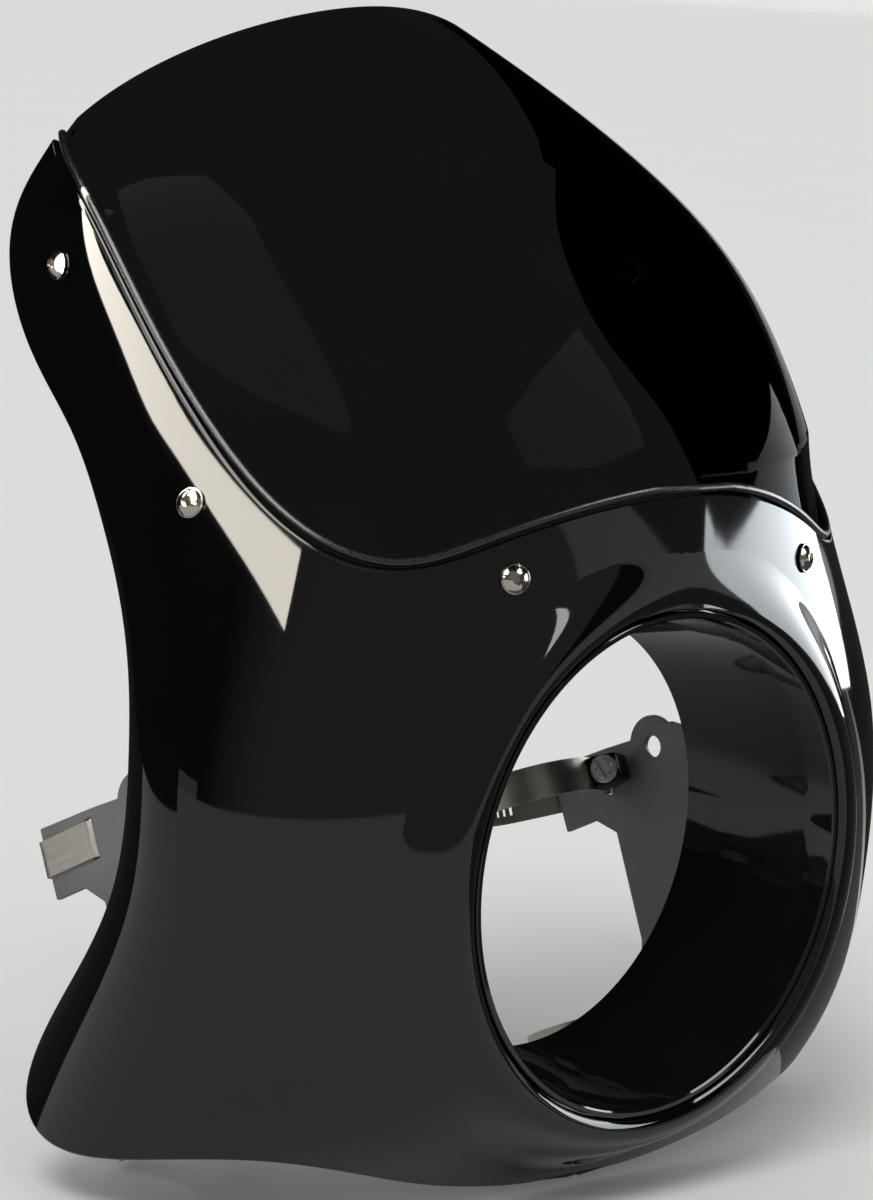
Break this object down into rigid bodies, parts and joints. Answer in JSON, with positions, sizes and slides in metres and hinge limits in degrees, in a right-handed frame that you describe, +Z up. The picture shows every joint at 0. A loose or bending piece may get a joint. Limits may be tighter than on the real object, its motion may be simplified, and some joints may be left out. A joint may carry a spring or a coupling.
{
  "type": "motorcycle headlight fairing",
  "caption": "Gloss moulded headlight fairing with a tinted windshield, a round lamp opening with its sleeve, and side brackets with worm-drive fork clamps.",
  "frame": {"origin": "middle of the round headlight opening, in the plane of the opening just behind the crown of its rolled lip", "axes": "+Z up, the headlight looks along -Y, +Y back towards the rider, X across with the part mirrored about X = 0"},
  "size_m": [0.3736, 0.2253, 0.4328],
  "materials": {
    "shell_gloss": "gloss",
    "smoke_sheet": "gloss",
    "sleeve_gloss": "gloss",
    "rubber": "satin",
    "polished": "polished",
    "zinc": "satin",
    "bracket_grey": "satin",
    "stainless": "satin"
  },
  "bodies": {
    "root": {"shell": "shell_gloss", "windshield": "smoke_sheet", "headlight_sleeve": "sleeve_gloss", "edge_trim": "rubber", "shield_screws": "polished", "shield_washers": "rubber", "shield_nuts": "zinc", "bracket_left": "bracket_grey", "bracket_right": "bracket_grey", "band_upper_left": "stainless", "band_upper_right": "stainless", "band_lower_left": "stainless", "band_lower_right": "stainless", "housing_upper_left": "stainless", "housing_upper_right": "stainless", "housing_lower_left": "stainless", "housing_lower_right": "stainless", "worm_screws": "zinc", "bracket_screws": "zinc", "bracket_washers": "zinc"}
  },
  "joints": []
}
